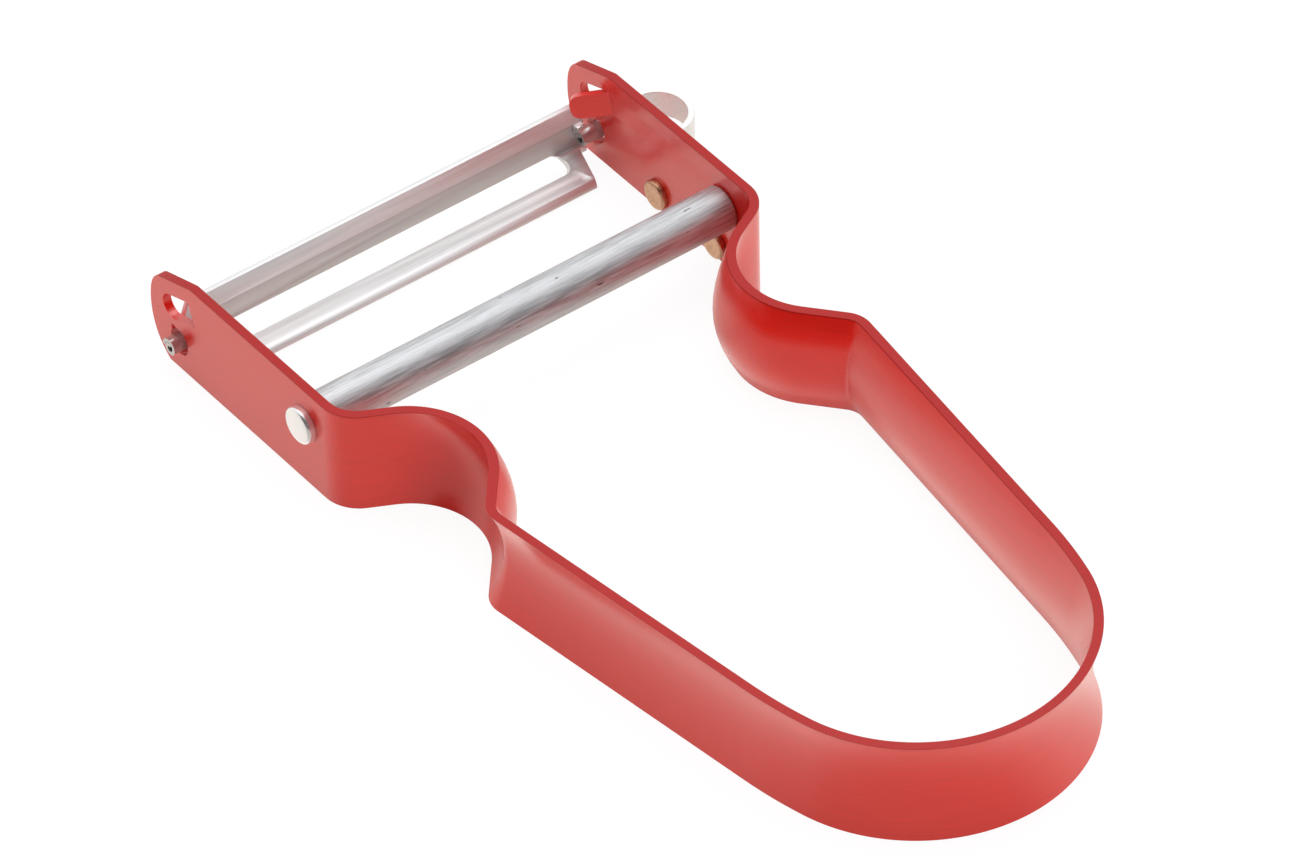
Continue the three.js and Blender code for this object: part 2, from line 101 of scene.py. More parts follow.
class BandSizes(bpy.types.PropertyGroup):
    """Sizes of the strip that makes the handle and the cheeks"""
    thickness: size(1.0, "Thickness of the strip")
    edge: size(0.22, "Rounding of the strip's edges")
    cheek: size(30.0, "Straight cheek, from the shoulder to the nose")
    shoulder_radius: size(3.85, "Radius of the shoulder bend")
    shoulder_turn: turn(62.2, "Turn of the shoulder bend")
    shoulder_straight: size(3.0, "Straight between shoulder and finger rest")
    rest_radius: size(8.85, "Radius of the finger rest")
    rest_turn: turn(102.7, "Turn of the finger rest")
    rest_straight: size(4.85, "Straight between finger rest and neck")
    rest_dish: size(1.7, "Depth of the dish pressed into the finger rest")
    handle_dish: size(1.0, "Depth of the dish pressed along the legs and the bow")
    dish_ease: share(0.4, "Share of the finger rest in which the dish deepens")
    neck_radius: size(2.8, "Radius of the neck bend")
    neck_turn: turn(47.75, "Turn of the neck bend")
    leg: size(34.9, "Straight leg of the loop")
    hip_radius: size(53.6, "Radius where the leg leads into the bow")
    hip_turn: turn(8.1, "Turn where the leg leads into the bow")
    nose_bevel_start: size(7.3, "Start of the nose's bevel, back from its tip")
    nose_bevel_end: size(1.8, "End of the nose's bevel, back from its tip")
    nose_bevel_drop: size(1.8, "Drop of the nose's bevel")
    nose_tip_drop: size(6.0, "Drop of the nose's tip below the upper edge")
    nose_heel: size(3.0, "Run of the nose's lower curve")
    window_rear: size(2.95, "Window's lower rear corner, behind the pivot")
    window_rise: size(4.05, "Window's lower rear corner, above the pivot")
    window_slope: turn(19.3, "Slope of the window, down to the nose")
    window_width: size(2.9, "Width of the window")
    window_length: size(5.3, "Length of the window")
    tab_length_right: size(4.6, "Length of the right stop tab")
    tab_length_left: size(3.6, "Length of the left stop tab")
    tab_fold_right: turn(46.0, "Fold of the right stop tab")
    tab_fold_left: turn(28.0, "Fold of the left stop tab")
    tab_bend: size(0.5, "Inner bend radius of the stop tab")
    tab_corner: size(1.2, "Rounding of the stop tab's corners")
    tab_slit: size(0.15, "Slit beside the stop tab")
    pivot_hole: size(1.45, "Radius of the pivot hole")
    pivot_rise: size(0.3, "Rise of the oblong pivot hole")
    notch: size(0.42, "Radius of the notch in the pivot hole's edge")


class BladeSizes(bpy.types.PropertyGroup):
    """Sizes of the swinging blade, its section measured from the pivot"""
    thickness: size(0.7, "Thickness of the sheet")
    edge: size(0.05, "Rounding of the sheet's edges")
    side_gap: size(0.6, "Gap between blade and cheek")
    fold_forward: size(0.9, "Fold's inner line, ahead of the pivot")
    fold_below: size(2.35, "Fold's inner line, below the pivot")
    fold_radius: size(0.35, "Inner radius of the fold")
    wall: size(5.35, "Height of the front wall")
    wall_lean: turn(9.7, "Forward lean of the front wall")
    plate: size(5.1, "Depth of the rear plate")
    lip: size(0.8, "Length of the rear lip")
    lip_turn: turn(70.0, "Turn of the rear lip")
    lip_radius: size(0.95, "Radius of the rear lip's bend")
    wall_corner_run: size(1.4, "Run of the wall's cut corner")
    wall_corner_drop: size(2.0, "Drop of the wall's cut corner")
    plate_inset_front: size(0.9, "Inset of the plate's end at the fold")
    plate_inset_rear: size(2.7, "Inset of the plate's end at the rear")
    slot_inset: size(3.2, "Inset of the slot's ends")
    slot_on_wall: size(0.95, "Slot's reach up the wall")
    slot_on_plate: size(2.4, "Slot's reach along the plate")
    grind_height: size(2.1, "Height of the ground facet above the slot")
    grind_depth: size(0.42, "Depth of the ground facet at the cutting edge")
    dimple: size(0.6, "Radius of the punched dimple at the plate's end")
    dimple_across: size(22.3, "Place of the dimple along the blade")
    dimple_back: size(3.2, "Place of the dimple behind the pivot")
    pin_radius: size(1.15, "Outer radius of the rolled pin")
    pin_sheet: size(0.4, "Thickness of the rolled sheet")
    pin_turns: share(1.35, "Turns of the rolled pin")
    pin_pitch: size(0.45, "Step of the rolled pin from turn to turn")
    pin_root: size(2.2, "Length of the pin inside the cheek")


class BarSizes(bpy.types.PropertyGroup):
    """Sizes of the crossbar, with its tenons and upset heads"""
    tenon: size(2.5, "Diameter of the tenons")
    head: size(4.2, "Diameter of the upset heads")
    rounding: size(0.35, "Rounding of the rod's ends and heads")
    seat: size(0.03, "Gap between rod and cheek")


class EyeSizes(bpy.types.PropertyGroup):
    """Sizes of the eye remover and its rivets"""
    thickness: size(0.7, "Thickness of the eye remover's strip")
    edge: size(0.1, "Rounding of the strip's edges")
    bend_radius: size(0.9, "Radius where the foot turns into the loop")
    loop_radius: size(3.6, "Radius of the loop")
    seat: size(0.04, "Gap between parts that are riveted together")
    tip_gap: size(0.3, "Gap between the loop's tip and the cheek")
    shank: size(2.0, "Diameter of a rivet's shank")
    rivet_rounding: size(0.3, "Rounding of a rivet's heads")
    rivet_dimple: size(0.08, "Dimple in the middle of a rivet's head")


class Finishes(bpy.types.PropertyGroup):
    """Colours of the peeler's metals, with painted shade on the band's upper edges and the pins"""
    red: colour((0.86, 0.018, 0.008), "Red of the anodised strip")
    # painted shade: darker red on the band's upper edges and nose bevels
    red_edge_shade: colour((0.45, 0.012, 0.01), "Painted shade on the band's upper edges")
    bar: colour((0.7, 0.71, 0.73), "Aluminium of the crossbar")
    speck: colour((0.16, 0.15, 0.15), "Specks on the crossbar")
    head: colour((0.95, 0.94, 0.94), "Upset heads of the crossbar")
    steel: colour((0.95, 0.955, 0.96), "Steel of the blade")
    eye_steel: colour((0.95, 0.95, 0.95), "Steel of the eye remover")
    ground: colour((0.68, 0.65, 0.645), "Ground facet of the blade")
    # painted shade: the pins are the blade's own steel, drawn darker for the shade inside the cheeks
    pin: colour((0.58, 0.565, 0.555), "Painted shade on the blade's pins")
    copper: colour((0.74, 0.44, 0.28), "Copper of the rivets")


class StageLook(bpy.types.PropertyGroup):
    """Camera, floor and lights"""
    azimuth: turn(-36.704, "Camera's turn round the peeler")
    elevation: turn(42.135, "Camera's height above the horizon")
    roll: turn(-1.188, "Camera's roll")
    distance: size(1121.0, "Camera's distance from its target")
    target: bpy.props.FloatVectorProperty(name="Camera's target", subtype="XYZ", unit="LENGTH",
                                          description="Point that the camera looks at",
                                          default=(4.41 * MM, 66.63 * MM, 0.0))
    floor: colour((0.93, 0.93, 0.93), "Colour of the floor")
    warm: colour((1.0, 0.95, 0.88), "Colour of the floor in reflections")
    shadow: share(0.14, "Share of the floor that takes shadow")
    bright: share(0.94, "Light from behind and above")
    dim: share(0.03, "Light from the camera's side")
    polish: share(0.6, "Share of the floor's gloss in reflections")
    floor_roughness: share(0.35, "Roughness of the floor's gloss")
    top_light: share(1.5, "Power of the soft light overhead")
    front_light: share(3.0, "Power of the soft light in front")


GROUPS = {
    "peeler_band": BandSizes,
    "peeler_blade": BladeSizes,
    "peeler_bar": BarSizes,
    "peeler_eye": EyeSizes,
    "peeler_finish": Finishes,
    "peeler_stage": StageLook,
}


# Paths and outlines

def middle_of(box):
    """The middle of a box in (y, z), from its lowest and highest corners."""
    low, high = box
    return (low.y + high.y) / 2, (low.z + high.z) / 2


def walk(start, heading, moves):
    """Points and headings along straight runs (length, 0, steps) and arcs (radius, turn, steps).
    A turn to the left is positive."""
    place = Vector(start)
    stations = [(place.copy(), heading)]
    for length, bend, steps in moves:
        step_turn = bend / steps
        chord = 2 * length * math.sin(abs(step_turn) / 2) if bend else length / steps
        for _ in range(steps):
            middle = heading + step_turn / 2
            place = place + chord * Vector((math.cos(middle), math.sin(middle)))
            heading += step_turn
            stations.append((place.copy(), heading))
    return stations


def path_length(points):
    """Length of a path through these points."""
    return sum((b - a).length for a, b in zip(points, points[1:]))


def circle(middle, radius, steps=48):
    """Points round a circle."""
    angles = [2 * math.pi * i / steps for i in range(steps)]
    return [(middle[0] + radius * math.cos(a), middle[1] + radius * math.sin(a)) for a in angles]


def oblong(middle, half, radius, steps=24):
    """Points round an oblong that lies along its first coordinate, its straight sides 2 * half long."""
    points = []
    for way in (1, -1):
        for i in range(steps + 1):
            angle = math.pi * i / steps - math.pi / 2 * way
            points.append((middle[0] + way * half + radius * math.cos(angle),
                           middle[1] + radius * math.sin(angle)))
    return points


def quadratic(start, control, end, steps=14):
    """Points of a curve drawn towards a control point, without its first point."""
    points = []
    for i in range(1, steps + 1):
        t = i / steps
        weights = ((1 - t) ** 2, 2 * t * (1 - t), t ** 2)
        corners = (start, control, end)
        points.append(tuple(sum(w * p[k] for w, p in zip(weights, corners)) for k in range(2)))
    return points


def rounded(corners, radii, steps=8):
    """Points and left-hand normals along a path whose inner corners are rounded."""
    stations = []
    for i, corner in enumerate(corners):
        before = (corner - corners[i - 1]).normalized() if i else (corners[1] - corner).normalized()
        after = (corners[i + 1] - corner).normalized() if i + 1 < len(corners) else before
        first = math.atan2(before.y, before.x)
        bend = math.remainder(math.atan2(after.y, after.x) - first, 2 * math.pi)
        if abs(bend) < 1e-6:
            stations.append((corner.copy(), Vector((-before.y, before.x))))
            continue
        radius = radii[i]
        start = corner - before * (radius * math.tan(abs(bend) / 2))
        for place, heading in walk(start, first, [(radius, bend, steps)]):
            stations.append((place, Vector((-math.sin(heading), math.cos(heading)))))
    return stations


# Objects and meshes

def linked(name, data):
    """A new object in the scene."""
    made = bpy.data.objects.new(name, data)
    bpy.context.scene.collection.objects.link(made)
    return made


def curve_object(name, points):
    """A poly curve through 3-D points."""
    data = bpy.data.curves.new(name, "CURVE")
    data.dimensions = "3D"
    data.twist_mode = "Z_UP"
    spline = data.splines.new("POLY")
    spline.points.add(len(points) - 1)
    for spot, point in zip(spline.points, points):
        spot.co = (*point, 1.0)
    return linked(name, data)


def mesh_object(name, bm):
    """A new object from a bmesh, its doubles merged and its faces pointing outwards."""
    bmesh.ops.remove_doubles(bm, verts=bm.verts, dist=1e-7)
    bmesh.ops.recalc_face_normals(bm, faces=bm.faces)
    data = bpy.data.meshes.new(name)
    bm.to_mesh(data)
    bm.free()
    return linked(name, data)


def rings_object(name, rings):
    """A closed body from rings that have the same number of points, with flat ends."""
    bm = bmesh.new()
    made = [[bm.verts.new(point) for point in ring] for ring in rings]
    count = len(rings[0])
    for one, two in zip(made, made[1:]):
        for i in range(count):
            j = (i + 1) % count
            bm.faces.new((one[i], one[j], two[j], two[i]))
    bm.faces.new(made[0])
    bm.faces.new(made[-1])
    return mesh_object(name, bm)


def prism(name, outline, start, end, place):
    """An outline of 2-D points pulled from start to end; place(a, b, depth) gives the 3-D point."""
    return rings_object(name, [[place(a, b, depth) for a, b in outline] for depth in (start, end)])


def across(a, b, depth):
    """Places an outline drawn in (y, z) and pulled along X."""
    return Vector((depth, a, b))


def from_pivot(a, b, depth):
    """Places an outline drawn in (y, z) from the pivot and pulled along X."""
    return Vector((depth, PIVOT.y + a, PIVOT.z + b))


def turned(name, profile, y, z, sides=72):
    """A turned piece about X, from (place along X, radius) pairs that start and end on the axis."""
    bm = bmesh.new()
    rings = []
    for x, radius in profile:
        if radius == 0.0:
            rings.append([bm.verts.new((x, y, z))])
            continue
        ring = [(x, y + a, z + b) for a, b in circle((0.0, 0.0), radius, sides)]
        rings.append([bm.verts.new(point) for point in ring])
    for one, two in zip(rings, rings[1:]):
        for i in range(sides):
            j = (i + 1) % sides
            corners = [one[i % len(one)], one[j % len(one)], two[j % len(two)], two[i % len(two)]]
            bm.faces.new(list(dict.fromkeys(corners)))
    return mesh_object(name, bm)


def moved(name, made, matrix):
    """A copy of a mesh object, moved, turned or mirrored in its mesh."""
    bm = bmesh.new()
    bm.from_mesh(made.data)
    bmesh.ops.transform(bm, matrix=matrix, verts=bm.verts)
    return mesh_object(name, bm)


def drop(made):
    """Removes a helper object and its data."""
    data = made.data
    bpy.data.objects.remove(made)
    if isinstance(data, bpy.types.Mesh):
        bpy.data.meshes.remove(data)
    else:
        bpy.data.curves.remove(data)


def baked(made, name):
    """The evaluated object as a plain mesh object; the given object is removed."""
    bpy.context.view_layer.update()
    evaluated = made.evaluated_get(bpy.context.evaluated_depsgraph_get())
    data = bpy.data.meshes.new_from_object(evaluated)
    drop(made)
    data.name = name
    result = linked(name, data)
    if not data.polygons:
        raise RuntimeError(name + " came out empty")
    return result


def combined(made, helpers, operation):
    """Cuts helpers from a solid, or joins them to it, and removes them."""
    for helper in helpers:
        modifier = made.modifiers.new(helper.name, "BOOLEAN")
        modifier.operation = operation
        modifier.solver = "EXACT"
        modifier.object = helper
    result = baked(made, made.name)
    for helper in helpers:
        drop(helper)
    return result


def appended(made, others):
    """Puts the meshes of other objects into one object, as shells of their own."""
    bm = bmesh.new()
    for each in [made, *others]:
        bm.from_mesh(each.data)
    bm.to_mesh(made.data)
    bm.free()
    for other in others:
        drop(other)
    return made


def eased(made, width, segments=3, angle=32.0):
    """Rounds the sharp edges of a solid and shades it smooth."""
    bm = bmesh.new()
    bm.from_mesh(made.data)
    bmesh.ops.remove_doubles(bm, verts=bm.verts, dist=2e-6)
    bmesh.ops.recalc_face_normals(bm, faces=bm.faces)
    for face in bm.faces:
        face.smooth = True
    bm.to_mesh(made.data)
    bm.free()
    modifier = made.modifiers.new("Edges", "BEVEL")
    modifier.width = width
    modifier.segments = segments
    modifier.limit_method = "ANGLE"
    modifier.angle_limit = math.radians(angle)
    modifier.use_clamp_overlap = True
    modifier.harden_normals = True
    return baked(made, made.name)


def finished(made, body, slot, material, *nodes):
    """Gives a piece its material and lets it stand for its CAD nodes."""
    made.data.materials.clear()
    made.data.materials.append(material)
    for face in made.data.polygons:
        face.material_index = 0
        face.use_smooth = True
    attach(made, body)
    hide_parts(*nodes)


# Node trees

class Tree:
    """A node tree, with short calls for its nodes and links"""

    def __init__(self, tree):
        self.tree = tree

    def socket(self, name, kind, way="INPUT", default=None):
        made = self.tree.interface.new_socket(name=name, in_out=way, socket_type=kind)
        if default is not None:
            made.default_value = default

    def feed(self, node, key, value):
        if isinstance(value, bpy.types.NodeSocket):
            self.tree.links.new(value, node.inputs[key])
        else:
            node.inputs[key].default_value = value

    def node(self, kind, inputs=None, **settings):
        made = self.tree.nodes.new(kind)
        for key, value in settings.items():
            setattr(made, key, value)
        for key, value in (inputs or {}).items():
            self.feed(made, key, value)
        return made

    def out(self, kind, inputs=None, **settings):
        return self.node(kind, inputs, **settings).outputs[0]

    def maths(self, operation, *values):
        return self.out("ShaderNodeMath", dict(enumerate(values)), operation=operation)

    def scaled(self, vector, amount):
        return self.out("ShaderNodeVectorMath", {"Vector": vector, "Scale": amount}, operation="SCALE")

    def against(self, vector, other, operation):
        made = self.node("ShaderNodeVectorMath", {0: vector, 1: other}, operation=operation)
        return made.outputs["Value"]

    def ramp(self, value, low, high):
        inputs = {"Value": value, "From Min": low, "From Max": high}
        return self.out("ShaderNodeMapRange", inputs, interpolation_type="SMOOTHSTEP")

    def between(self, value, start, end, low=0.0, high=1.0):
        return self.out("ShaderNodeMapRange", {"Value": value, "From Min": low, "From Max": high,
                                               "To Min": start, "To Max": end})

    def dressed(self, geometry, material):
        real = self.out("GeometryNodeRealizeInstances", {"Geometry": geometry})
        shown = self.out("GeometryNodeSetMaterial", {"Geometry": real, "Material": material})
        self.node("NodeGroupOutput", {"Geometry": shown})
        return self.tree

    def place(self):
        return self.node("ShaderNodeTexCoord").outputs["Object"]

    def noise(self, scale):
        stretched = self.out("ShaderNodeMapping", {"Vector": self.place(), "Scale": scale})
        return self.out("ShaderNodeTexNoise", {"Vector": stretched, "Scale": 1.0, "Detail": 3.0})


def fresh_tree(block):
    """The emptied node tree of a new material or world."""
    block.use_nodes = True
    block.node_tree.nodes.clear()
    return Tree(block.node_tree)


DISH_WORDS = ("First Dish", "First Start", "First Full", "Second Dish", "Second Start", "Second Full")


def strip_tree():
    """The tree of a strip that stands on edge along a curve, its middle pressed to the right from both
    ends: first to one depth and further on to a second depth."""
    name = "Strip along a path"
    if name in bpy.data.node_groups:
        return bpy.data.node_groups[name]
    t = Tree(bpy.data.node_groups.new(name, "GeometryNodeTree"))
    t.socket("Geometry", "NodeSocketGeometry")
    for word in ("Thickness", "Height", *DISH_WORDS):
        t.socket(word, "NodeSocketFloat", default=0.001)
    t.socket("Rows", "NodeSocketInt", default=1)
    t.socket("Material", "NodeSocketMaterial")
    t.socket("Geometry", "NodeSocketGeometry", way="OUTPUT")
    given = t.node("NodeGroupInput").outputs
    travelled = t.node("GeometryNodeSplineParameter").outputs["Length"]
    whole = t.node("GeometryNodeSplineLength").outputs["Length"]
    nearest = t.maths("MINIMUM", travelled, t.maths("SUBTRACT", whole, travelled))
    tangent = t.out("GeometryNodeInputTangent")
    right = t.out("ShaderNodeVectorMath", {0: tangent, 1: (0, 0, 1)}, operation="CROSS_PRODUCT")
    marked = given["Geometry"]
    for word, value, kind in (("travel", nearest, "FLOAT"), ("side", right, "FLOAT_VECTOR")):
        inputs = {"Geometry": marked, "Name": word, "Value": value}
        marked = t.out("GeometryNodeStoreNamedAttribute", inputs, data_type=kind, domain="POINT")
    top = t.out("ShaderNodeCombineXYZ", {"Y": t.maths("MULTIPLY", given["Height"], -1.0)})
    upright = t.out("GeometryNodeCurvePrimitiveLine", {"End": top})
    count = t.maths("ADD", given["Rows"], 1.0)
    levels = t.out("GeometryNodeResampleCurve", {"Curve": upright, "Count": count})
    sheet = t.out("GeometryNodeCurveToMesh", {"Curve": marked, "Profile Curve": levels})
    place = t.out("GeometryNodeInputNamedAttribute", {"Name": "travel"}, data_type="FLOAT")
    rise = t.ramp(place, given["First Start"], given["First Full"])
    settling = t.ramp(place, given["Second Start"], given["Second Full"])
    change = t.maths("SUBTRACT", given["Second Dish"], given["First Dish"])
    depth = t.maths("ADD", given["First Dish"], t.maths("MULTIPLY", change, settling))
    position = t.node("ShaderNodeSeparateXYZ", {0: t.out("GeometryNodeInputPosition")})
    level = t.maths("DIVIDE", position.outputs["Z"], given["Height"])
    swell = t.maths("SUBTRACT", t.maths("MULTIPLY", level, 2.0), 1.0)
    swell = t.maths("SUBTRACT", 1.0, t.maths("MULTIPLY", swell, swell))
    pressed = t.maths("MULTIPLY", depth, t.maths("MULTIPLY", rise, swell))
    back = t.maths("SUBTRACT", pressed, t.maths("DIVIDE", given["Thickness"], 2.0))
    sideways = t.out("GeometryNodeInputNamedAttribute", {"Name": "side"}, data_type="FLOAT_VECTOR")
    outer = t.out("GeometryNodeSetPosition", {"Geometry": sheet, "Offset": t.scaled(sideways, back)})
    pulled = t.node("GeometryNodeExtrudeMesh", {"Mesh": outer, "Offset Scale": 0.0, "Individual": False})
    inner = t.out("GeometryNodeSetPosition", {"Geometry": pulled.outputs["Mesh"],
                                              "Selection": pulled.outputs["Top"],
                                              "Offset": t.scaled(sideways, given["Thickness"])})
    both = t.node("GeometryNodeJoinGeometry", {0: inner})
    t.feed(both, 0, t.out("GeometryNodeFlipFaces", {"Mesh": outer}))
    closed = t.out("GeometryNodeMergeByDistance", {"Geometry": both.outputs[0], "Distance": 1e-6})
    return t.dressed(closed, given["Material"])


def repeat_tree():
    """The tree that sets one object on every point of a mesh."""
    t = Tree(bpy.data.node_groups.new("Rivets on points", "GeometryNodeTree"))
    t.socket("Geometry", "NodeSocketGeometry")
    t.socket("Rivet", "NodeSocketObject")
    t.socket("Material", "NodeSocketMaterial")
    t.socket("Geometry", "NodeSocketGeometry", way="OUTPUT")
    given = t.node("NodeGroupInput").outputs
    rivet = t.node("GeometryNodeObjectInfo", {"Object": given["Rivet"]}).outputs["Geometry"]
    spots = t.out("GeometryNodeInstanceOnPoints", {"Points": given["Geometry"], "Instance": rivet})
    return t.dressed(spots, given["Material"])


def run_tree(made, tree, values, name):
    """Runs a node tree on an object and keeps its result as a plain mesh."""
    modifier = made.modifiers.new(tree.name, "NODES")
    modifier.node_group = tree
    for item in tree.interface.items_tree:
        if item.item_type == "SOCKET" and item.in_out == "INPUT" and item.name in values:
            modifier[item.identifier] = values[item.name]
    return baked(made, name)


def strip(name, points, thickness, height, material, rows=1, dishes=(0.0, 0.0, 1.0, 0.0, 0.0, 1.0)):
    """A strip on edge along 3-D points; dishes holds depth, start and full place of both its dishes."""
    values = {"Thickness": thickness, "Height": height, "Rows": rows, "Material": material}
    values.update(zip(DISH_WORDS, dishes))
    return run_tree(curve_object(name + " path", points), strip_tree(), values, name)


# Materials

# Scales of the metals' noise along X, Y and Z, per metre
BAND_LINES = (150.0, 150.0, 9000.0)
BAR_LINES = (260.0, 4500.0, 4500.0)
BAR_SPECKS = (420.0, 1500.0, 1500.0)
SHEET_LINES = (90.0, 4000.0, 4000.0)
COPPER_GRAIN = (2500.0, 2500.0, 2500.0)

# Depths between which the band's upper edge and bevels go from red to the darker red of painted shade, and
# the coat left there
EDGE_SHADE_FADE = (-0.2 * MM, -0.05 * MM)
EDGE_SHADE_COAT = 0.35
# How far from the facet's plane a point still counts as ground, and from the axis as a pin's painted shade
# and smoother finish, in pin radii
GROUND_SKIN = 0.04 * MM
PIN_SHADE_AND_SMOOTH_REACH = 1.05
HEAD_ROUGHNESS = 0.25
PIN_ROUGHNESS = 0.2
SHEET_METAL = {"Metallic": 0.8}


def lines_group():
    """The shader group of fine drawn lines: a roughness, a normal and a mask."""
    name = "Drawn lines"
    if name in bpy.data.node_groups:
        return bpy.data.node_groups[name]
    t = Tree(bpy.data.node_groups.new(name, "ShaderNodeTree"))
    t.socket("Scale", "NodeSocketVector")
    for word, default in (("Middle", 0.4), ("Spread", 0.05), ("Depth", 0.1)):
        t.socket(word, "NodeSocketFloat", default=default)
    t.socket("Roughness", "NodeSocketFloat", way="OUTPUT")
    t.socket("Normal", "NodeSocketVector", way="OUTPUT")
    t.socket("Line", "NodeSocketFloat", way="OUTPUT")
    given = t.node("NodeGroupInput").outputs
    line = t.noise(given["Scale"])
    low = t.maths("SUBTRACT", given["Middle"], given["Spread"])
    high = t.maths("ADD", given["Middle"], given["Spread"])
    rough = t.between(line, low, high, 0.3, 0.7)
    bump = t.out("ShaderNodeBump", {"Height": line, "Strength": given["Depth"], "Distance": 0.0001})
    t.node("NodeGroupOutput", {"Roughness": rough, "Normal": bump, "Line": line})
    return t.tree


def metal(name, base, scale, rough, depth, uneven, settings):
    """A metal with drawn lines; settings go straight onto the shader's sockets."""
    made = bpy.data.materials.new(name)
    t = fresh_tree(made)
    inputs = {"Scale": scale, "Middle": rough[0], "Spread": rough[1], "Depth": depth}
    lines = t.node("ShaderNodeGroup", inputs, node_tree=lines_group()).outputs
    darker = [part * (1.0 - uneven) for part in base]
    tone = t.node("ShaderNodeMix", {0: t.ramp(lines["Line"], 0.35, 0.65), 6: (*darker, 1.0),
                                    7: (*base, 1.0)}, data_type="RGBA")
    shader = t.node("ShaderNodeBsdfPrincipled", {"Base Color": tone.outputs[2],
                                                 "Roughness": lines["Roughness"],
                                                 "Normal": lines["Normal"], **settings})
    t.node("ShaderNodeOutputMaterial", {"Surface": shader.outputs[0]})
    return made, t, shader


def overlay(t, shader, mask, colour_over):
    """Lays a second colour over the shader's colour where the mask is one."""
    under = shader.inputs["Base Color"].links[0].from_socket
    mix = t.node("ShaderNodeMix", {0: mask, 6: under, 7: (*colour_over, 1.0)}, data_type="RGBA")
    t.feed(shader, "Base Color", mix.outputs[2])


def smoother(t, shader, mask, rough):
    """Sets another roughness where the mask is one."""
    under = shader.inputs["Roughness"].links[0].from_socket
    t.feed(shader, "Roughness", t.out("ShaderNodeMix", {0: mask, 2: under, 3: rough}, data_type="FLOAT"))


def height_over(t, point, normal):
    """How far the surface lies above a plane, by Object coordinates."""
    return t.maths("SUBTRACT", t.against(t.place(), normal, "DOT_PRODUCT"), normal.dot(point))


def outside(t, reach):
    """Mask of what lies further out along X than a reach, on both sides."""
    across_x = t.node("ShaderNodeSeparateXYZ", {0: t.place()}).outputs["X"]
    return t.maths("GREATER_THAN", t.maths("ABSOLUTE", across_x), reach)


def red_metal(finish, sizes):
    """Satin red anodised aluminium, its lines along the strip; painted shade darkens the upper edge and
    bevels.
    """
    settings = {"Metallic": 0.35, "Specular IOR Level": 0.0, "Specular Tint": (0.6, 0.06, 0.05, 1.0),
                "Coat Roughness": 0.22, "Coat IOR": 1.9}
    name = "Red anodised aluminium"
    made, t, shader = metal(name, finish.red, BAND_LINES, (0.55, 0.05), 0.02, 0.07, settings)
    top = Vector((0.0, BAND_HIGH.y - sizes.nose_bevel_start, BAND_HIGH.z))
    run = sizes.nose_bevel_start - sizes.nose_bevel_end
    bevel = Vector((0.0, sizes.nose_bevel_drop, run)).normalized()
    depths = [height_over(t, top, normal) for normal in (Vector((0.0, 0.0, 1.0)), bevel)]
    # painted shade: the upper edge and the nose bevels drawn darker red, with less coat
    edge = t.maths("MAXIMUM", *[t.ramp(depth, *EDGE_SHADE_FADE) for depth in depths])
    overlay(t, shader, edge, finish.red_edge_shade)
    t.feed(shader, "Coat Weight", t.between(edge, 1.0, EDGE_SHADE_COAT))
    return made


def bar_metal(finish):
    """Drawn aluminium, its marks along the bar, with dark specks and brighter heads."""
    settings = {"Metallic": 0.85}
    made, t, shader = metal("Drawn aluminium", finish.bar, BAR_LINES, (0.5, 0.14), 0.06, 0.3, settings)
    overlay(t, shader, t.ramp(t.noise(BAR_SPECKS), 0.69, 0.75), finish.speck)
    head = outside(t, BAND_HIGH.x)
    overlay(t, shader, head, finish.head)
    smoother(t, shader, head, HEAD_ROUGHNESS)
    return made


def steel_metal(finish):
    """Satin steel of the eye remover, its lines lengthwise."""
    return metal("Satin steel", finish.eye_steel, SHEET_LINES, (0.48, 0.06), 0.02, 0.08, SHEET_METAL)[0]


def blade_metal(finish, sizes):
    """The blade's satin steel, darker on the ground facet and smoother on the pins, where painted shade
    darkens it.
    """
    name = "Blade steel"
    made, t, shader = metal(name, finish.steel, SHEET_LINES, (0.54, 0.06), 0.02, 0.08, SHEET_METAL)
    high, deep = grind_outline(sizes)[:2]
    along = (high - deep).normalized()
    normal = Vector((0.0, -along.y, along.x))
    away = t.maths("ABSOLUTE", height_over(t, from_pivot(high.x, high.y, 0.0), normal))
    overlay(t, shader, t.maths("LESS_THAN", away, GROUND_SKIN), finish.ground)
    # painted shade: the pins drawn darker; their lower roughness is their own finish
    level = t.out("ShaderNodeVectorMath", {0: t.place(), 1: (0.0, 1.0, 1.0)}, operation="MULTIPLY")
    apart = t.against(level, (0.0, PIVOT.y, PIVOT.z), "DISTANCE")
    pin = t.maths("LESS_THAN", apart, PIN_SHADE_AND_SMOOTH_REACH * sizes.pin_radius)
    overlay(t, shader, pin, finish.pin)
    smoother(t, shader, pin, PIN_ROUGHNESS)
    return made


def copper_metal(finish):
    """Copper of the rivets, faintly mottled."""
    return metal("Copper", finish.copper, COPPER_GRAIN, (0.36, 0.1), 0.1, 0.25, {"Metallic": 1.0})[0]


# Pieces

NOTCH_ANGLE = math.radians(50)
TURNED_SHARP = math.radians(35)
BLADE_SHARP = math.radians(40)
# Share of the slot's reach up the wall at which the grind starts
GRIND_START = 0.3


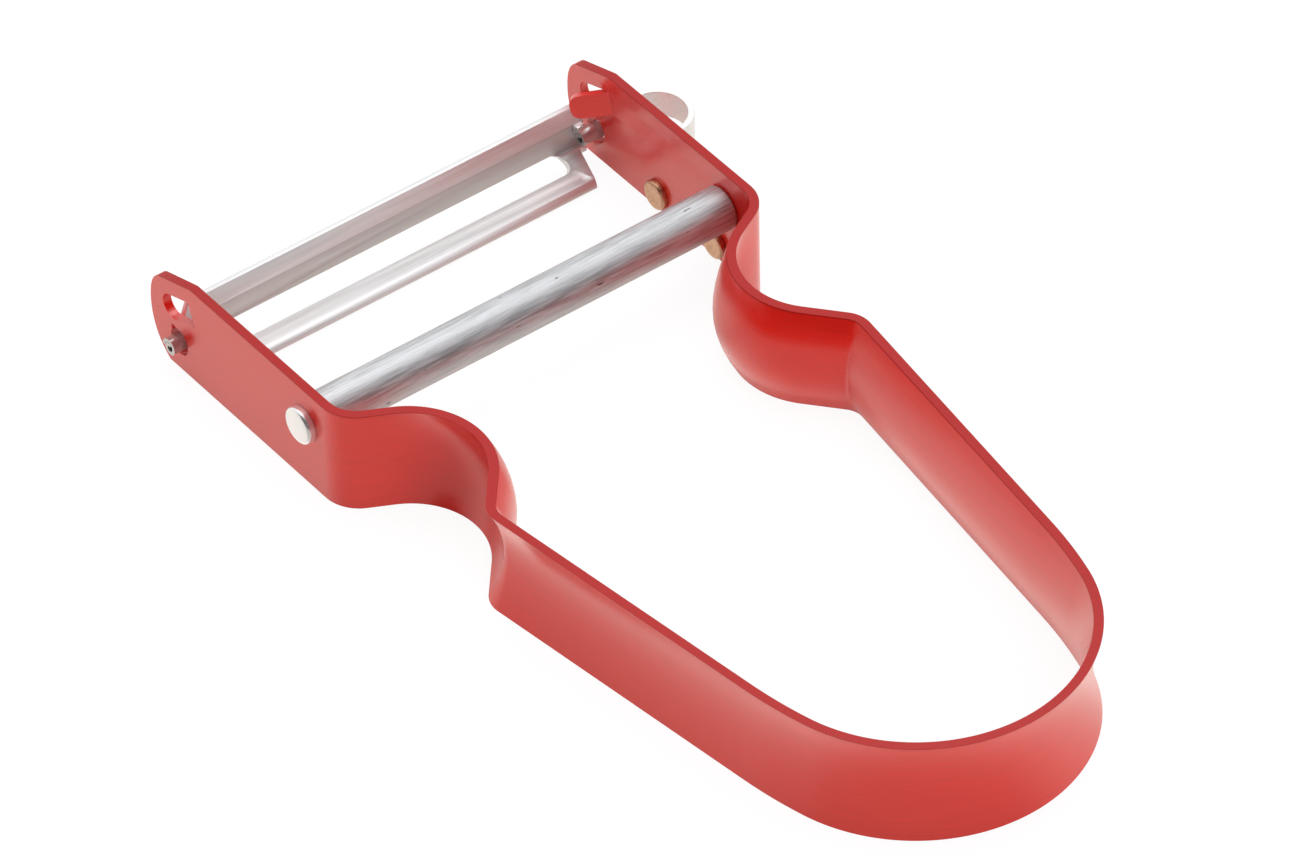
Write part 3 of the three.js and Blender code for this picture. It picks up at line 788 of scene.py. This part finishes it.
def band_plan(sizes):
    """The strip's middle line from the right nose round to the left, and its first parts' lengths."""
    bow_start = sizes.shoulder_turn - sizes.rest_turn + sizes.neck_turn + sizes.hip_turn
    start = (BAND_HIGH.x - sizes.thickness / 2, BAND_HIGH.y)
    shoulder = [(sizes.cheek, 0.0, 1), (sizes.shoulder_radius, -sizes.shoulder_turn, 16)]
    rest = [(sizes.shoulder_straight, 0.0, 5), (sizes.rest_radius, sizes.rest_turn, 44),
            (sizes.rest_straight, 0.0, 7)]
    leg = [(sizes.neck_radius, -sizes.neck_turn, 12), (sizes.leg, 0.0, 16)]
    hip = [(sizes.hip_radius, -sizes.hip_turn, 6)]
    points = []
    lengths = []
    heading = -math.pi / 2
    for moves in (shoulder, rest, leg, hip):
        stations = walk(points[-1] if points else start, heading, moves)
        places = [place for place, _ in stations]
        lengths.append(path_length(places))
        heading = stations[-1][1]
        points.extend(places if not points else places[1:])
    bow = walk(points[-1], heading, [(points[-1].x / math.cos(bow_start), bow_start - math.pi / 2, 40)])
    points.extend(place for place, _ in bow[1:])
    left = [Vector((-place.x, place.y)) for place in reversed(points[:-1])]
    return points + left, lengths


def nose_offcut(sizes):
    """What is cut from the strip's ends to leave the noses."""
    tip = BAND_HIGH.y
    top = BAND_HIGH.z
    far = 4 * sizes.thickness
    middle = (tip, top - sizes.nose_tip_drop)
    bevel_end = (tip - sizes.nose_bevel_end, top - sizes.nose_bevel_drop)
    outline = [(tip - sizes.nose_bevel_start, top + far), (tip - sizes.nose_bevel_start, top), bevel_end]
    upper_pull = (tip, top - 1.5 * sizes.nose_bevel_drop)
    lower_pull = (tip, middle[1] / 3)
    outline += quadratic(bevel_end, upper_pull, middle)
    outline += quadratic(middle, lower_pull, (tip - sizes.nose_heel, 0.0))
    outline += [(tip - sizes.nose_heel, -far), (tip + far, -far), (tip + far, top + far)]
    return prism("nose offcut", outline, -2 * BAND_HIGH.x, 2 * BAND_HIGH.x, across)


def window_frame(sizes):
    """The window's lower rear corner, with its forward and upward directions, in (y, z)."""
    slope = sizes.window_slope
    hinge = Vector((PIVOT.y - sizes.window_rear, PIVOT.z + sizes.window_rise))
    return hinge, Vector((math.cos(slope), -math.sin(slope))), Vector((math.sin(slope), math.cos(slope)))


def window_cutter(sizes):
    """The window: a straight rear side and a round front."""
    hinge, forward, up = window_frame(sizes)
    radius = sizes.window_width / 2
    reach = sizes.window_length - radius
    outline = [(0.0, sizes.window_width), (0.0, 0.0)]
    steps = 24
    for i in range(steps + 1):
        angle = -math.pi / 2 + math.pi * i / steps
        outline.append((reach + radius * math.cos(angle), radius + radius * math.sin(angle)))
    points = [hinge + forward * u + up * v for u, v in outline]
    return prism("window", [(p.x, p.y) for p in points], -2 * BAND_HIGH.x, 2 * BAND_HIGH.x, across)


def stop_tab(sizes, fold, length):
    """The tongue cut free in the window and folded inwards on its rear side, on the right cheek."""
    hinge, forward, up = window_frame(sizes)
    middle = BAND_HIGH.x - sizes.thickness / 2
    bend = sizes.tab_bend + sizes.thickness / 2
    lead = bend * math.tan(fold / 2)
    root = 0.7 * sizes.thickness
    half = sizes.window_width / 2 - sizes.tab_slit
    straight = length - lead - sizes.tab_corner
    stations = walk((-lead - root, 0.0), 0.0, [(root, 0.0, 1), (bend, fold, 8), (straight, 0.0, 1)])
    stations = [(place, heading, half) for place, heading in stations]
    end, heading, _ = stations[-1]
    steps = 10
    for i in range(1, steps + 1):
        t = i / steps
        ahead = sizes.tab_corner * (1 - (1 - t) ** 2)
        onward = end + ahead * Vector((math.cos(heading), math.sin(heading)))
        stations.append((onward, heading, half - sizes.tab_corner * t * t))
    rings = []
    skin_depth = sizes.thickness / 2 - 0.02 * MM
    for place, heading, width in stations:
        ring = []
        for side, level in ((-1, -1), (1, -1), (1, 1), (-1, 1)):
            skin = level * skin_depth
            u = place.x - skin * math.sin(heading)
            inwards = place.y + skin * math.cos(heading)
            spot = hinge + forward * u + up * (sizes.window_width / 2 + side * width)
            ring.append(Vector((middle - inwards, spot.x, spot.y)))
        rings.append(ring)
    return rings_object("stop tab", rings)


def hole(name, y, z, radius, start, end):
    """A round cutter along X."""
    return prism(name, circle((y, z), radius), start, end, across)


class PEELER_OT_band(bpy.types.Operator):
    """Bends the red strip into the handle loop, and cuts its noses, windows and holes"""
    bl_idname = "peeler.band"
    bl_label = "Handle Band"

    def execute(self, context):
        sizes = context.scene.peeler_band
        bar = context.scene.peeler_bar
        eye = context.scene.peeler_eye
        material = red_metal(context.scene.peeler_finish, sizes)
        points, lengths = band_plan(sizes)
        path = [(p.x, p.y, BAND_LOW.z) for p in points]
        height = BAND_HIGH.z - BAND_LOW.z
        neck = lengths[0] + lengths[1]
        dishes = (sizes.rest_dish, lengths[0], lengths[0] + sizes.dish_ease * lengths[1],
                  sizes.handle_dish, neck, neck + lengths[2])
        made = strip("handle_band", path, sizes.thickness, height, material, 10, dishes)
        wide = 2 * BAND_HIGH.x
        half_rise = sizes.pivot_rise / 2
        slot = oblong((PIVOT.z + half_rise, PIVOT.y), half_rise, sizes.pivot_hole)
        notch_y = PIVOT.y + sizes.pivot_hole * math.cos(NOTCH_ANGLE)
        notch_z = PIVOT.z + sizes.pivot_rise + sizes.pivot_hole * math.sin(NOTCH_ANGLE)
        tenon = bar.tenon / 2 + bar.seat
        cutters = [
            nose_offcut(sizes),
            window_cutter(sizes),
            prism("pivot hole", [(y, z) for z, y in slot], -wide, wide, across),
            hole("pivot notch", notch_y, notch_z, sizes.notch, -wide, wide),
            hole("tenon hole", *middle_of((BAR_LOW, BAR_HIGH)), tenon, -wide, wide),
        ]
        for box in RIVETS:
            cutters.append(hole("rivet hole", *middle_of(box), eye.shank / 2 + eye.seat, 0.0, wide))
        made = combined(made, cutters, "DIFFERENCE")
        tab = stop_tab(sizes, sizes.tab_fold_right, sizes.tab_length_right)
        twin = stop_tab(sizes, sizes.tab_fold_left, sizes.tab_length_left)
        other = moved("left stop tab", twin, MIRRORED)
        drop(twin)
        made = combined(made, [tab, other], "UNION")
        made = eased(made, sizes.edge)
        finished(made, "frame", "band", material, "handle_band")
        return {"FINISHED"}


def rounded_end(x, radius, rounding, way, steps=5):
    """Profile points of a round-edged end face at x, from the axis outwards; way is the outward sign."""
    points = [(x, 0.0)]
    for i in range(steps + 1):
        angle = math.pi / 2 * i / steps
        inwards = radius - rounding * (1 - math.sin(angle))
        points.append((x - way * rounding * (1 - math.cos(angle)), inwards))
    return points


class PEELER_OT_crossbar(bpy.types.Operator):
    """Turns the crossbar with its tenons and upset heads"""
    bl_idname = "peeler.crossbar"
    bl_label = "Crossbar"

    def execute(self, context):
        sizes = context.scene.peeler_bar
        band = context.scene.peeler_band
        rod = (BAR_HIGH.y - BAR_LOW.y) / 2
        inner = BAND_HIGH.x - band.thickness - sizes.seat
        outer = BAND_HIGH.x + sizes.seat
        half = rounded_end(BAR_HIGH.x, sizes.head / 2, sizes.rounding, 1)
        half += [(outer, sizes.head / 2), (outer, sizes.tenon / 2), (inner, sizes.tenon / 2)]
        half += rounded_end(inner, rod, sizes.rounding, 1)[1:]
        profile = half + [(-x, radius) for x, radius in reversed(half)]
        made = turned("crossbar", profile, *middle_of((BAR_LOW, BAR_HIGH)))
        finished(made, "frame", "bar", bar_metal(context.scene.peeler_finish), "crossbar")
        made.data.set_sharp_from_angle(angle=TURNED_SHARP)
        return {"FINISHED"}


def blade_lines(sizes):
    """Directions of the wall and the plate, and the section's inner corners, in (y, z) from the pivot."""
    wall = Vector((math.sin(sizes.wall_lean), math.cos(sizes.wall_lean)))
    plate = Vector((-1.0, 0.0))
    fold = Vector((sizes.fold_forward, -sizes.fold_below))
    rear = fold + plate * sizes.plate
    lip = Vector((math.cos(math.pi + sizes.lip_turn), math.sin(math.pi + sizes.lip_turn)))
    return wall, plate, [fold + wall * sizes.wall, fold, rear, rear + lip * sizes.lip]


def blade_sheet(sizes, half):
    """The folded sheet of the blade, square at its ends."""
    _, _, corners = blade_lines(sizes)
    stations = rounded(corners, [0.0, sizes.fold_radius, sizes.lip_radius, 0.0])
    inner = [(place.x, place.y) for place, _ in stations]
    outer = [(p.x + n.x * sizes.thickness, p.y + n.y * sizes.thickness) for p, n in stations]
    return prism("blade", inner + outer[::-1], -half, half, from_pivot)


def blade_end_cutters(sizes, half):
    """What is cut from the right end: the wall's corner and the plate's slanted end."""
    _, _, corners = blade_lines(sizes)
    top = PIVOT.z + corners[0].y
    fold = PIVOT.y + corners[1].x
    rear = PIVOT.y + corners[3].x
    far = 10 * sizes.thickness
    corner = [
        (half, top - sizes.wall_corner_drop), (half + far, top - sizes.wall_corner_drop),
        (half + far, top + far), (half - sizes.wall_corner_run, top + far),
        (half - sizes.wall_corner_run, top + sizes.thickness),
    ]
    plate = [
        (half - sizes.plate_inset_front, fold), (half - sizes.plate_inset_rear, rear),
        (half - sizes.plate_inset_rear, rear - far), (half + far, rear - far), (half + far, fold),
    ]
    return [
        prism("wall corner", corner, PIVOT.y - far, PIVOT.y + far, lambda a, b, d: Vector((a, d, b))),
        prism("plate end", plate, PIVOT.z - far, PIVOT.z, lambda a, b, d: Vector((a, b, d))),
    ]


def blade_slot(sizes, half):
    """The long slot through the fold, with round ends."""
    wall, plate, corners = blade_lines(sizes)
    outward = -(wall + plate).normalized()
    sideways = Vector((outward.y, -outward.x))
    on_wall = (corners[1] + wall * sizes.slot_on_wall).dot(sideways)
    on_plate = (corners[1] + plate * sizes.slot_on_plate).dot(sideways)
    radius = abs(on_wall - on_plate) / 2
    deep = 4 * sizes.thickness
    middle = corners[1].dot(outward)

    def place(a, b, depth):
        spot = sideways * b + outward * (middle + depth)
        return from_pivot(spot.x, spot.y, a)

    outline = oblong((0.0, (on_wall + on_plate) / 2), half - radius, radius)
    return prism("slot", outline, -deep, deep, place)


def grind_outline(sizes):
    """The wedge ground from the wall's rear face, in (y, z) from the pivot: first its facet's two ends."""
    wall, _, corners = blade_lines(sizes)
    back = Vector((-wall.y, wall.x))
    low = corners[1] + wall * (GRIND_START * sizes.slot_on_wall)
    high = corners[1] + wall * (sizes.slot_on_wall + sizes.grind_height)
    slope = sizes.grind_depth / sizes.grind_height
    deep = low - back * (slope * (sizes.grind_height + (1 - GRIND_START) * sizes.slot_on_wall))
    clear = back * sizes.thickness
    return [high, deep, low + clear, high + clear]


def blade_grind(sizes, half):
    """The wedge ground from the wall above the cutting edge."""
    return prism("grind", [(p.x, p.y) for p in grind_outline(sizes)], -half, half, from_pivot)


def ball(name, middle, radius):
    """A round ball."""
    bm = bmesh.new()
    bmesh.ops.create_icosphere(bm, subdivisions=4, radius=radius, matrix=Matrix.Translation(middle))
    return mesh_object(name, bm)


def pin_root(sizes, start, end):
    """The block that ties the right pin to the wall."""
    wall, _, corners = blade_lines(sizes)
    half = 0.72 * sizes.pin_radius
    rear = 0.5 * sizes.pin_radius
    outline = [(rear, -half)]
    for z in (-half, half):
        outline.append((corners[1].x + (z - corners[1].y) * wall.x / wall.y + sizes.thickness / 2, z))
    outline.append((rear, half))
    return prism("pin root", outline, start, end, from_pivot)


def rolled_pin(sizes, start, end, material):
    """The right pin: sheet rolled about the pivot's axis."""
    steps = 60
    points = []
    for i in range(steps + 1):
        turns = sizes.pin_turns * i / steps
        radius = sizes.pin_radius - sizes.pin_sheet / 2 - sizes.pin_pitch * turns
        angle = 2 * math.pi * turns
        points.append((radius * math.cos(angle), radius * math.sin(angle), 0.0))
    roll = strip("rolled pin", points, sizes.pin_sheet, end - start, material)
    facing = Matrix(((0, 0, 1, start), (1, 0, 0, PIVOT.y), (0, 1, 0, PIVOT.z), (0, 0, 0, 1)))
    placed = moved("pin", roll, facing)
    drop(roll)
    return placed


class PEELER_OT_blade(bpy.types.Operator):
    """Folds the blade, cuts its slot and ends, grinds its edge and rolls its pins"""
    bl_idname = "peeler.blade"
    bl_label = "Blade"

    def execute(self, context):
        sizes = context.scene.peeler_blade
        band = context.scene.peeler_band
        inner_face = BAND_HIGH.x - band.thickness
        half = inner_face - sizes.side_gap
        material = blade_metal(context.scene.peeler_finish, sizes)
        made = blade_sheet(sizes, half)
        cutters = blade_end_cutters(sizes, half)
        cutters += [moved("left " + cutter.name, cutter, MIRRORED) for cutter in cutters]
        slot_half = half - sizes.slot_inset
        cutters.append(blade_slot(sizes, slot_half))
        cutters.append(blade_grind(sizes, half + sizes.side_gap))
        rise = 2.5 * sizes.dimple
        plate_top = PIVOT.z - sizes.fold_below
        middle = Vector((sizes.dimple_across, PIVOT.y - sizes.dimple_back, plate_top + rise))
        cutters.append(ball("dimple", middle, math.hypot(sizes.dimple, rise)))
        made = combined(made, cutters, "DIFFERENCE")
        start = inner_face - sizes.pin_root
        step = sizes.side_gap / 2
        root = pin_root(sizes, start + step, half - step)
        other = moved("left pin root", root, MIRRORED)
        made = combined(made, [root, other], "UNION")
        made = eased(made, sizes.edge, segments=2)
        pin = rolled_pin(sizes, start, BLADE_HIGH.x, material)
        left = moved("left pin", pin, MIRRORED)
        made = appended(made, [pin, left])
        finished(made, "blade", "blade", material, "blade")
        made.data.set_sharp_from_angle(angle=BLADE_SHARP)
        return {"FINISHED"}


class PEELER_OT_eye_remover(bpy.types.Operator):
    """Bends the eye remover's strip along its foot and round its loop"""
    bl_idname = "peeler.eye_remover"
    bl_label = "Eye Remover"

    def execute(self, context):
        sizes = context.scene.peeler_eye
        material = steel_metal(context.scene.peeler_finish)
        foot = BAND_HIGH.x + sizes.seat + sizes.thickness / 2
        front = EYE_HIGH.y - sizes.thickness / 2
        back = front - 2 * sizes.loop_radius
        middle = EYE_HIGH.x - sizes.loop_radius - sizes.thickness / 2
        moves = [
            (back - sizes.bend_radius - EYE_LOW.y, 0.0, 1),
            (sizes.bend_radius, -math.pi / 2, 10),
            (middle - foot - sizes.bend_radius, 0.0, 1),
            (sizes.loop_radius, math.pi, 40),
            (middle - BAND_HIGH.x - sizes.tip_gap, 0.0, 1),
        ]
        plan = walk((foot, EYE_LOW.y), math.pi / 2, moves)
        path = [(place.x, place.y, EYE_LOW.z) for place, _ in plan]
        made = strip("eye_remover", path, sizes.thickness, EYE_HIGH.z - EYE_LOW.z, material)
        radius = sizes.shank / 2 + sizes.seat
        far = foot + sizes.thickness
        cutters = [hole("rivet hole", *middle_of(box), radius, 0.0, far) for box in RIVETS]
        made = combined(made, cutters, "DIFFERENCE")
        made = eased(made, sizes.edge)
        finished(made, "frame", "eye", material, "eye_remover")
        return {"FINISHED"}


class PEELER_OT_rivets(bpy.types.Operator):
    """Sets the two copper rivets through the cheek and the eye remover's foot"""
    bl_idname = "peeler.rivets"
    bl_label = "Rivets"

    def execute(self, context):
        sizes = context.scene.peeler_eye
        band = context.scene.peeler_band
        material = copper_metal(context.scene.peeler_finish)
        low, high = FRONT_RIVET
        head = (high.y - low.y) / 2
        inner = BAND_HIGH.x - band.thickness - sizes.seat
        outer = BAND_HIGH.x + sizes.thickness + 2 * sizes.seat
        shank = sizes.shank / 2
        profile = [(low.x + sizes.rivet_dimple, 0.0), (low.x + sizes.rivet_dimple, 0.25 * head),
                   (low.x, 0.55 * head)]
        profile += rounded_end(low.x, head, sizes.rivet_rounding, -1)[1:]
        profile += [(inner, head), (inner, shank), (outer, shank), (outer, head)]
        profile += rounded_end(high.x, head, sizes.rivet_rounding, 1)[::-1]
        rivet = turned("rivet", profile, 0.0, 0.0, 48)
        spots = bpy.data.meshes.new("rivet spots")
        spots.from_pydata([(0.0, *middle_of(box)) for box in RIVETS], [], [])
        values = {"Rivet": rivet, "Material": material}
        made = run_tree(linked("rivet spots", spots), repeat_tree(), values, "rivets")
        drop(rivet)
        finished(made, "frame", "rivet", material, "rivet_front", "rivet_rear")
        made.data.set_sharp_from_angle(angle=TURNED_SHARP)
        return {"FINISHED"}


# Stage

FLOOR_HALF = 2.0
FLOOR_GAP = 0.02 * MM
# Strength at which the camera sees the floor as white, with its share of shadow
FLOOR_WHITE = 1.06
LIGHT_AIM = (0.0, 0.06, 0.0)


def area_light(name, place, aim, width, power):
    """A square soft light."""
    data = bpy.data.lights.new(name, "AREA")
    data.shape = "SQUARE"
    data.size = width
    data.energy = power
    made = linked(name, data)
    made.location = place
    made.rotation_euler = (Vector(aim) - Vector(place)).to_track_quat("-Z", "Y").to_euler()
    return made


def floor_material(look):
    """A pale floor that the camera sees as white, with a share of its shadow. Reflections show it as
    partly white, and partly by a gloss of its own."""
    made = bpy.data.materials.new("Pale floor")
    t = fresh_tree(made)
    path = t.node("ShaderNodeLightPath").outputs
    warm = (*look.warm, 1.0)
    matt = t.out("ShaderNodeBsdfDiffuse", {"Color": (*look.floor, 1.0)})
    polished = t.out("ShaderNodeBsdfGlossy", {"Color": warm, "Roughness": look.floor_roughness})
    ground = t.out("ShaderNodeMixShader", {0: path["Is Glossy Ray"], 1: matt, 2: polished})
    tint = t.node("ShaderNodeMix", {0: path["Is Glossy Ray"], 6: WHITE, 7: warm}, data_type="RGBA")
    white = t.out("ShaderNodeEmission", {"Color": tint.outputs[2], "Strength": FLOOR_WHITE})
    in_view = t.maths("MULTIPLY", path["Is Camera Ray"], 1.0 - look.shadow)
    mirrored = t.maths("MULTIPLY", path["Is Glossy Ray"], 1.0 - look.polish)
    bright = t.maths("MAXIMUM", in_view, mirrored)
    mix = t.out("ShaderNodeMixShader", {0: bright, 1: ground, 2: white})
    t.node("ShaderNodeOutputMaterial", {"Surface": mix})
    return made


def white_world(look):
    """A white studio, dim on the camera's side, that the camera itself sees as plain white."""
    world = bpy.data.worlds.new("Studio")
    t = fresh_tree(world)
    way = t.node("ShaderNodeTexCoord").outputs["Generated"]
    towards = (math.sin(look.azimuth), -math.cos(look.azimuth), 0.0)
    facing = t.against(way, towards, "DOT_PRODUCT")
    dimming = t.between(facing, look.bright, look.dim, -0.1, 0.5)
    light = t.out("ShaderNodeBackground", {"Color": WHITE, "Strength": dimming})
    seen = t.out("ShaderNodeBackground", {"Color": WHITE, "Strength": 1.0})
    camera = t.node("ShaderNodeLightPath").outputs["Is Camera Ray"]
    mix = t.out("ShaderNodeMixShader", {0: camera, 1: light, 2: seen})
    t.node("ShaderNodeOutputWorld", {"Surface": mix})
    return world


class PEELER_OT_stage(bpy.types.Operator):
    """Sets up the camera, the pale floor and the soft lights"""
    bl_idname = "peeler.stage"
    bl_label = "Stage"

    def execute(self, context):
        scene = context.scene
        look = scene.peeler_stage
        bm = bmesh.new()
        bmesh.ops.create_grid(bm, x_segments=1, y_segments=1, size=FLOOR_HALF)
        floor = mesh_object("floor", bm)
        floor.location = (0.0, 0.0, BAND_LOW.z - FLOOR_GAP)
        floor.data.materials.append(floor_material(look))
        scene.world = white_world(look)
        top = area_light("top light", (0.1, 0.25, 0.7), LIGHT_AIM, 0.6, look.top_light)
        fill = area_light("front light", (-0.18, -0.6, 0.4), LIGHT_AIM, 0.5, look.front_light)
        fill.visible_glossy = False
        data = bpy.data.cameras.new("camera")
        data.sensor_width = SENSOR_WIDTH_MM
        data.lens = SENSOR_WIDTH_MM * FOCAL_SHARE
        data.dof.use_dof = False
        camera = linked("camera", data)
        a = look.azimuth
        e = look.elevation
        back = Vector((math.sin(a) * math.cos(e), -math.cos(a) * math.cos(e), math.sin(e)))
        right = Vector((math.cos(a), math.sin(a), 0.0))
        up = back.cross(right)
        level = math.cos(look.roll) * right + math.sin(look.roll) * up
        above = math.cos(look.roll) * up - math.sin(look.roll) * right
        facing = Matrix((level, above, back)).transposed().to_4x4()
        camera.matrix_world = Matrix.Translation(Vector(look.target) + look.distance * back) @ facing
        scene.camera = camera
        scene.view_settings.view_transform = "Standard"
        return {"FINISHED"}


class PEELER_PT_panel(bpy.types.Panel):
    """Sizes, colours and steps of the peeler"""
    bl_idname = "PEELER_PT_panel"
    bl_label = "Vegetable Peeler"
    bl_space_type = "VIEW_3D"
    bl_region_type = "UI"
    bl_category = "Peeler"

    def draw(self, context):
        for name, group in GROUPS.items():
            column = self.layout.column(align=True)
            for key in group.__annotations__:
                column.prop(getattr(context.scene, name), key)
        for operator in OPERATORS:
            self.layout.operator(operator.bl_idname)


OPERATORS = (
    PEELER_OT_band,
    PEELER_OT_crossbar,
    PEELER_OT_blade,
    PEELER_OT_eye_remover,
    PEELER_OT_rivets,
    PEELER_OT_stage,
)
CLASSES = (*GROUPS.values(), *OPERATORS, PEELER_PT_panel)


def register():
    for each in CLASSES:
        bpy.utils.register_class(each)
    for name, group in GROUPS.items():
        setattr(bpy.types.Scene, name, bpy.props.PointerProperty(type=group))


def unregister():
    for name in GROUPS:
        delattr(bpy.types.Scene, name)
    for each in reversed(CLASSES):
        bpy.utils.unregister_class(each)


def main():
    register()
    steps = (
        bpy.ops.peeler.band,
        bpy.ops.peeler.crossbar,
        bpy.ops.peeler.blade,
        bpy.ops.peeler.eye_remover,
        bpy.ops.peeler.rivets,
        bpy.ops.peeler.stage,
    )
    for step in steps:
        if step() != {"FINISHED"}:
            raise RuntimeError("A step of the peeler did not finish")


if __name__ == "__main__":
    main()
